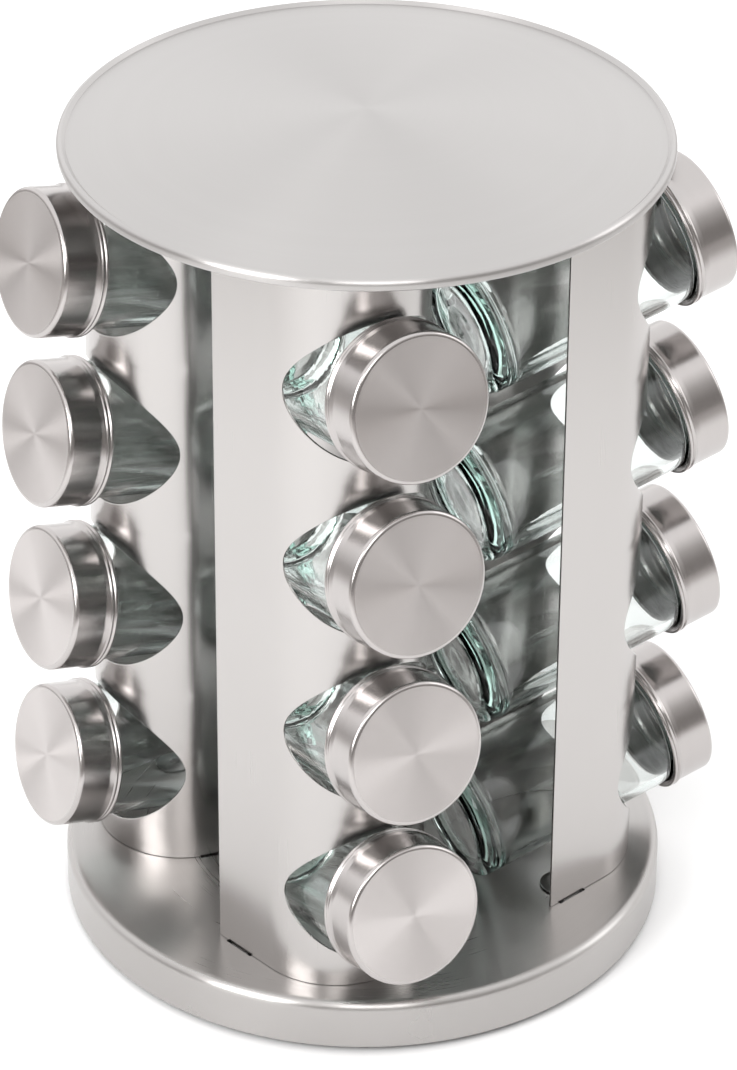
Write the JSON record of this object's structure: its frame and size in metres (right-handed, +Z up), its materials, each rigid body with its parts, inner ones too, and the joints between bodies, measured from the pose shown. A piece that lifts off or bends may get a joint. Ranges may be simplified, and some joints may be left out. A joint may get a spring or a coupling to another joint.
{
  "type": "spice carousel",
  "caption": "Revolving steel spice rack: pinwheel of rolled sheets on a turntable under a domed cap, with tilted glass jars that pull out and steel lids.",
  "frame": {"origin": "on the turntable axis, on the surface that the rack stands on", "axes": "+Z up along the turntable axis; bay 1 faces -Y and bays 2, 3 and 4 follow anticlockwise seen from above"},
  "size_m": [0.1968, 0.1968, 0.2759],
  "materials": {
    "brushed_plate": "spun in circles about the centre, satin",
    "sheet_steel": "fine grain along the sheet, semi-bright",
    "lid_steel": "spun in circles on the face, turned round the skirt",
    "rivet_steel": "pressed, slightly dull",
    "jar_glass": "clear, faint green where it is thick",
    "zinc_steel": "zinc-plated pressing",
    "bearing_steel": "ground",
    "rubber": "matt"
  },
  "bodies": {
    "foot": {"rubber_ring": "rubber", "foot_plate": "zinc_steel", "lower_race": "zinc_steel", "spindle": "bearing_steel", "spindle_washer": "zinc_steel", "spindle_nut": "zinc_steel"},
    "ball_cage": {"ball_cage": "bearing_steel"},
    "tower": {"turntable_spider": "zinc_steel", "base_pan": "brushed_plate", "top_plate": "sheet_steel", "top_cap": "brushed_plate", "column_sheet_1": "sheet_steel", "rivet_1": "rivet_steel", "column_sheet_2": "sheet_steel", "rivet_2": "rivet_steel", "column_sheet_3": "sheet_steel", "rivet_3": "rivet_steel", "column_sheet_4": "sheet_steel", "rivet_4": "rivet_steel"},
    "jar_1_1": {"jar_1_1": "jar_glass"},
    "lid_1_1": {"lid_1_1": "lid_steel"},
    "jar_1_2": {"jar_1_2": "jar_glass"},
    "lid_1_2": {"lid_1_2": "lid_steel"},
    "jar_1_3": {"jar_1_3": "jar_glass"},
    "lid_1_3": {"lid_1_3": "lid_steel"},
    "jar_1_4": {"jar_1_4": "jar_glass"},
    "lid_1_4": {"lid_1_4": "lid_steel"},
    "jar_2_1": {"jar_2_1": "jar_glass"},
    "lid_2_1": {"lid_2_1": "lid_steel"},
    "jar_2_2": {"jar_2_2": "jar_glass"},
    "lid_2_2": {"lid_2_2": "lid_steel"},
    "jar_2_3": {"jar_2_3": "jar_glass"},
    "lid_2_3": {"lid_2_3": "lid_steel"},
    "jar_2_4": {"jar_2_4": "jar_glass"},
    "lid_2_4": {"lid_2_4": "lid_steel"},
    "jar_3_1": {"jar_3_1": "jar_glass"},
    "lid_3_1": {"lid_3_1": "lid_steel"},
    "jar_3_2": {"jar_3_2": "jar_glass"},
    "lid_3_2": {"lid_3_2": "lid_steel"},
    "jar_3_3": {"jar_3_3": "jar_glass"},
    "lid_3_3": {"lid_3_3": "lid_steel"},
    "jar_3_4": {"jar_3_4": "jar_glass"},
    "lid_3_4": {"lid_3_4": "lid_steel"},
    "jar_4_1": {"jar_4_1": "jar_glass"},
    "lid_4_1": {"lid_4_1": "lid_steel"},
    "jar_4_2": {"jar_4_2": "jar_glass"},
    "lid_4_2": {"lid_4_2": "lid_steel"},
    "jar_4_3": {"jar_4_3": "jar_glass"},
    "lid_4_3": {"lid_4_3": "lid_steel"},
    "jar_4_4": {"jar_4_4": "jar_glass"},
    "lid_4_4": {"lid_4_4": "lid_steel"}
  },
  "joints": [
    {"name": "turntable_spin", "type": "hinge", "parent": "foot", "child": "tower", "pos_m": [0, 0, 0.0103], "axis": [0, 0, 1], "continuous": true},
    {"name": "ball_cage_spin", "type": "hinge", "parent": "foot", "child": "ball_cage", "pos_m": [0, 0, 0.0103], "axis": [0, 0, 1], "continuous": true},
    {"name": "jar_1_1_pull", "type": "slide", "parent": "tower", "child": "jar_1_1", "axis": [0, -0.9799, 0.1994], "range_m": [0, 0.084]},
    {"name": "lid_1_1_lift", "type": "slide", "parent": "jar_1_1", "child": "lid_1_1", "axis": [0, -0.9799, 0.1994], "range_m": [0, 0.022]},
    {"name": "jar_1_2_pull", "type": "slide", "parent": "tower", "child": "jar_1_2", "axis": [0, -0.9799, 0.1994], "range_m": [0, 0.084]},
    {"name": "lid_1_2_lift", "type": "slide", "parent": "jar_1_2", "child": "lid_1_2", "axis": [0, -0.9799, 0.1994], "range_m": [0, 0.022]},
    {"name": "jar_1_3_pull", "type": "slide", "parent": "tower", "child": "jar_1_3", "axis": [0, -0.9799, 0.1994], "range_m": [0, 0.084]},
    {"name": "lid_1_3_lift", "type": "slide", "parent": "jar_1_3", "child": "lid_1_3", "axis": [0, -0.9799, 0.1994], "range_m": [0, 0.022]},
    {"name": "jar_1_4_pull", "type": "slide", "parent": "tower", "child": "jar_1_4", "axis": [0, -0.9799, 0.1994], "range_m": [0, 0.084]},
    {"name": "lid_1_4_lift", "type": "slide", "parent": "jar_1_4", "child": "lid_1_4", "axis": [0, -0.9799, 0.1994], "range_m": [0, 0.022]},
    {"name": "jar_2_1_pull", "type": "slide", "parent": "tower", "child": "jar_2_1", "axis": [0.9799, 0, 0.1994], "range_m": [0, 0.084]},
    {"name": "lid_2_1_lift", "type": "slide", "parent": "jar_2_1", "child": "lid_2_1", "axis": [0.9799, 0, 0.1994], "range_m": [0, 0.022]},
    {"name": "jar_2_2_pull", "type": "slide", "parent": "tower", "child": "jar_2_2", "axis": [0.9799, 0, 0.1994], "range_m": [0, 0.084]},
    {"name": "lid_2_2_lift", "type": "slide", "parent": "jar_2_2", "child": "lid_2_2", "axis": [0.9799, 0, 0.1994], "range_m": [0, 0.022]},
    {"name": "jar_2_3_pull", "type": "slide", "parent": "tower", "child": "jar_2_3", "axis": [0.9799, 0, 0.1994], "range_m": [0, 0.084]},
    {"name": "lid_2_3_lift", "type": "slide", "parent": "jar_2_3", "child": "lid_2_3", "axis": [0.9799, 0, 0.1994], "range_m": [0, 0.022]},
    {"name": "jar_2_4_pull", "type": "slide", "parent": "tower", "child": "jar_2_4", "axis": [0.9799, 0, 0.1994], "range_m": [0, 0.084]},
    {"name": "lid_2_4_lift", "type": "slide", "parent": "jar_2_4", "child": "lid_2_4", "axis": [0.9799, 0, 0.1994], "range_m": [0, 0.022]},
    {"name": "jar_3_1_pull", "type": "slide", "parent": "tower", "child": "jar_3_1", "axis": [0, 0.9799, 0.1994], "range_m": [0, 0.084]},
    {"name": "lid_3_1_lift", "type": "slide", "parent": "jar_3_1", "child": "lid_3_1", "axis": [0, 0.9799, 0.1994], "range_m": [0, 0.022]},
    {"name": "jar_3_2_pull", "type": "slide", "parent": "tower", "child": "jar_3_2", "axis": [0, 0.9799, 0.1994], "range_m": [0, 0.084]},
    {"name": "lid_3_2_lift", "type": "slide", "parent": "jar_3_2", "child": "lid_3_2", "axis": [0, 0.9799, 0.1994], "range_m": [0, 0.022]},
    {"name": "jar_3_3_pull", "type": "slide", "parent": "tower", "child": "jar_3_3", "axis": [0, 0.9799, 0.1994], "range_m": [0, 0.084]},
    {"name": "lid_3_3_lift", "type": "slide", "parent": "jar_3_3", "child": "lid_3_3", "axis": [0, 0.9799, 0.1994], "range_m": [0, 0.022]},
    {"name": "jar_3_4_pull", "type": "slide", "parent": "tower", "child": "jar_3_4", "axis": [0, 0.9799, 0.1994], "range_m": [0, 0.084]},
    {"name": "lid_3_4_lift", "type": "slide", "parent": "jar_3_4", "child": "lid_3_4", "axis": [0, 0.9799, 0.1994], "range_m": [0, 0.022]},
    {"name": "jar_4_1_pull", "type": "slide", "parent": "tower", "child": "jar_4_1", "axis": [-0.9799, 0, 0.1994], "range_m": [0, 0.084]},
    {"name": "lid_4_1_lift", "type": "slide", "parent": "jar_4_1", "child": "lid_4_1", "axis": [-0.9799, 0, 0.1994], "range_m": [0, 0.022]},
    {"name": "jar_4_2_pull", "type": "slide", "parent": "tower", "child": "jar_4_2", "axis": [-0.9799, 0, 0.1994], "range_m": [0, 0.084]},
    {"name": "lid_4_2_lift", "type": "slide", "parent": "jar_4_2", "child": "lid_4_2", "axis": [-0.9799, 0, 0.1994], "range_m": [0, 0.022]},
    {"name": "jar_4_3_pull", "type": "slide", "parent": "tower", "child": "jar_4_3", "axis": [-0.9799, 0, 0.1994], "range_m": [0, 0.084]},
    {"name": "lid_4_3_lift", "type": "slide", "parent": "jar_4_3", "child": "lid_4_3", "axis": [-0.9799, 0, 0.1994], "range_m": [0, 0.022]},
    {"name": "jar_4_4_pull", "type": "slide", "parent": "tower", "child": "jar_4_4", "axis": [-0.9799, 0, 0.1994], "range_m": [0, 0.084]},
    {"name": "lid_4_4_lift", "type": "slide", "parent": "jar_4_4", "child": "lid_4_4", "axis": [-0.9799, 0, 0.1994], "range_m": [0, 0.022]}
  ],
  "couplings": [
    {"joint": "ball_cage_spin", "follows": "turntable_spin", "ratio": 0.5}
  ]
}
